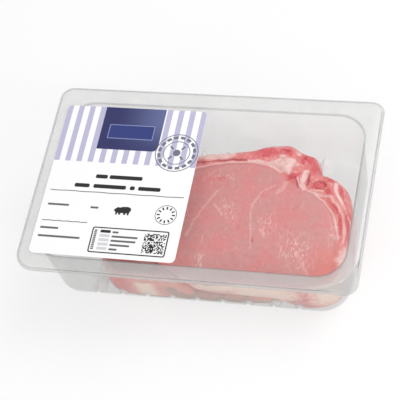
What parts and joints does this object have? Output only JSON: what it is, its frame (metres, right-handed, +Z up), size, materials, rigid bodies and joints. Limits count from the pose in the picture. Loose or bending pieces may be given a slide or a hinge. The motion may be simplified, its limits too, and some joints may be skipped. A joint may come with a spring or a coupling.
{
  "type": "meat tray pack",
  "caption": "Clear plastic tray with a ribbed base and a peel corner, holding raw pork chops under a sealed clear film with a paper label.",
  "frame": {"origin": "under the middle of the tray, on the plane its base rests on", "axes": "+X along the long side, away from the label; +Y towards the back long side; +Z up, out of the lid film"},
  "size_m": [0.2302, 0.1482, 0.0567],
  "materials": {
    "clear_tray": "clear thermoformed sheet, milky on the sealing land",
    "clear_film": "clear glossy film",
    "label_paper": "coated white paper with plain printed fields",
    "pork_upper": "moist raw pork with fat and membranes",
    "pork_lower": "moist raw pork with fat"
  },
  "bodies": {
    "root": {"tray": "clear_tray", "lid_film": "clear_film", "label": "label_paper", "chop_upper": "pork_upper", "chop_lower": "pork_lower"}
  },
  "joints": []
}
